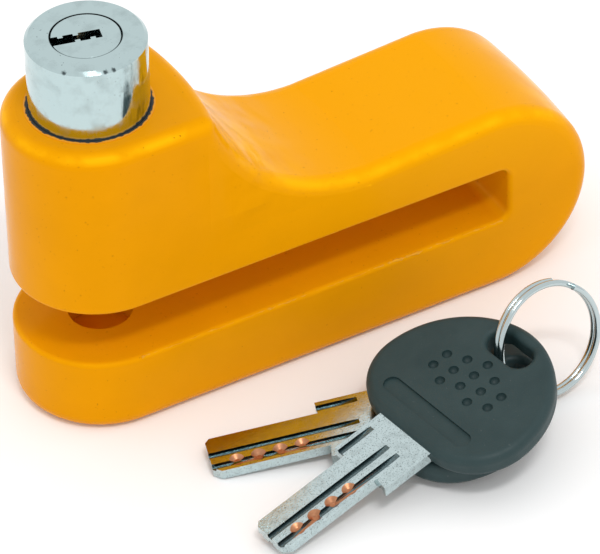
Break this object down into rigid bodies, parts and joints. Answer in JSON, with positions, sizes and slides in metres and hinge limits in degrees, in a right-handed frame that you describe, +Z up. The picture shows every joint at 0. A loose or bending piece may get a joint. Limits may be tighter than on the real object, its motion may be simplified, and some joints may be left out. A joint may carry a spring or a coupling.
{
  "type": "disc brake lock",
  "caption": "Hook-shaped motorcycle disc brake lock with a keyed push-down locking plunger, disc slot and two dimple keys on a split ring.",
  "frame": {"origin": "on the base plane, under the axis of the plunger and locking pin", "axes": "+Z up along the plunger, +X along the arm towards the closed end of the disc slot, +Y across the slot"},
  "size_m": [0.1043, 0.0789, 0.073],
  "materials": {
    "coated_casting": "glossy orange powder coat on a zinc casting",
    "seal_rubber": "dull black",
    "pin_steel": "ground hardened steel",
    "spring_steel": "drawn wire",
    "plunger_chrome": "polished chrome with fine scratches",
    "plug_nickel": "satin nickel",
    "tumbler_brass": "turned",
    "ring_steel": "polished wire",
    "key_nickel": "nickel-plated brass, brass shows in the cut dimples",
    "key_plastic": "soft black moulded grip"
  },
  "bodies": {
    "lock_body": {"body_casting": "coated_casting", "dust_seal": "seal_rubber", "limit_pin": "pin_steel", "return_spring": "spring_steel", "spring_washer": "spring_steel"},
    "plunger": {"plunger_shell": "plunger_chrome", "locking_pin": "pin_steel", "head_dowels": "pin_steel", "driver_pins": "tumbler_brass", "driver_springs": "spring_steel", "chamber_cover": "plunger_chrome"},
    "plug": {"key_plug": "plug_nickel", "key_pins": "tumbler_brass", "scroll_cam": "pin_steel"},
    "bolt": {"latch_bolt": "pin_steel", "follower_pin": "pin_steel"},
    "ring": {"split_ring": "ring_steel"},
    "key_1": {"key_1_blade": "key_nickel", "key_1_head": "key_plastic"},
    "key_2": {"key_2_blade": "key_nickel", "key_2_head": "key_plastic"}
  },
  "joints": [
    {"name": "plunger_slide", "type": "slide", "parent": "lock_body", "child": "plunger", "axis": [0, 0, -1], "range_m": [0, 0.0138], "stiffness_N_per_m": 400, "springref_m": -0.004, "deforming": ["return_spring"]},
    {"name": "plug_turn", "type": "hinge", "parent": "plunger", "child": "plug", "pos_m": [0, 0, 0], "axis": [0, 0, 1], "range_deg": [0, 90]},
    {"name": "bolt_throw", "type": "slide", "parent": "plunger", "child": "bolt", "axis": [1, 0, 0], "range_m": [0, 0.0022]},
    {"name": "ring_lift", "type": "slide", "parent": "lock_body", "child": "ring", "axis": [0, 0, 1], "range_m": [0, 0.1]},
    {"name": "key_1_swing", "type": "hinge", "parent": "ring", "child": "key_1", "pos_m": [0.0534, -0.0431, 0.0127], "axis": [0, 0, 1], "range_deg": [0, 12]},
    {"name": "key_2_swing", "type": "hinge", "parent": "ring", "child": "key_2", "pos_m": [0.0549, -0.0449, 0.0063], "axis": [0, 0, 1], "range_deg": [-8, 0]}
  ],
  "couplings": [
    {"joint": "bolt_throw", "follows": "plug_turn", "m_per_rad": 0.0014006}
  ]
}
